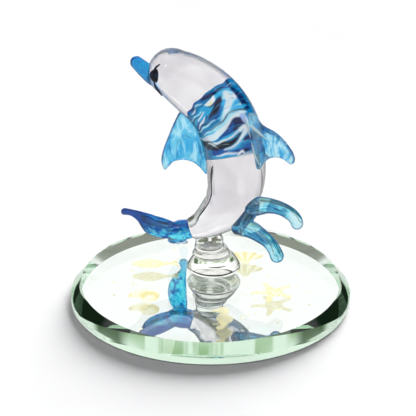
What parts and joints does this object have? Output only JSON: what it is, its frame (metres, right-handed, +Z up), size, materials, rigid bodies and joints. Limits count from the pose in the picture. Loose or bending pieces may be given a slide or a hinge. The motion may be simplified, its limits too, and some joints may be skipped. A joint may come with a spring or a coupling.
{
  "type": "glass dolphin figurine",
  "caption": "Clear and blue lampwork glass dolphin leaping from a short ridged glass stem, glued to a small round bevelled mirror that stands flat on a shelf or table.",
  "frame": {"origin": "the centre of the round mirror's underside, where it rests", "axes": "+Z is up out of the mirror, -Y is the side the dolphin is shown from, and +X is to that viewer's right, the side the dolphin's back faces"},
  "size_m": [0.0762, 0.0762, 0.0706],
  "materials": {
    "backing_paint": "matte grey coat",
    "silvering": "mirror",
    "plate_glass": "clear with a green edge",
    "gold_print": "pale gold print",
    "clear_adhesive": "clear",
    "clear_crystal": "clear",
    "royal_blue_glass": "clear, deep blue",
    "navy_glass": "clear, navy",
    "cyan_white_glass": "clear with white swirls",
    "sky_blue_glass": "clear, pale blue",
    "black_glass": "gloss black"
  },
  "bodies": {
    "root": {"backing_paint": "backing_paint", "mirror_silvering": "silvering", "mirror_plate": "plate_glass", "print_fish": "gold_print", "print_nautilus": "gold_print", "print_scallop": "gold_print", "print_starfish": "gold_print", "print_seahorse": "gold_print", "stem_glue": "clear_adhesive", "stem_foot": "clear_crystal", "stem_ring": "clear_crystal", "stem_collar": "clear_crystal", "lower_body": "clear_crystal", "chest_band_lower": "navy_glass", "chest_band_middle": "cyan_white_glass", "chest_band_upper": "royal_blue_glass", "head": "clear_crystal", "snout": "sky_blue_glass", "eye_near": "black_glass", "eye_far": "black_glass", "pectoral_fin": "sky_blue_glass", "dorsal_fin": "sky_blue_glass", "far_fin": "sky_blue_glass", "tail_knot": "navy_glass", "fluke_left": "royal_blue_glass", "fluke_back": "royal_blue_glass", "splash_root": "navy_glass", "splash_upper": "sky_blue_glass", "splash_lower": "sky_blue_glass"}
  },
  "joints": []
}
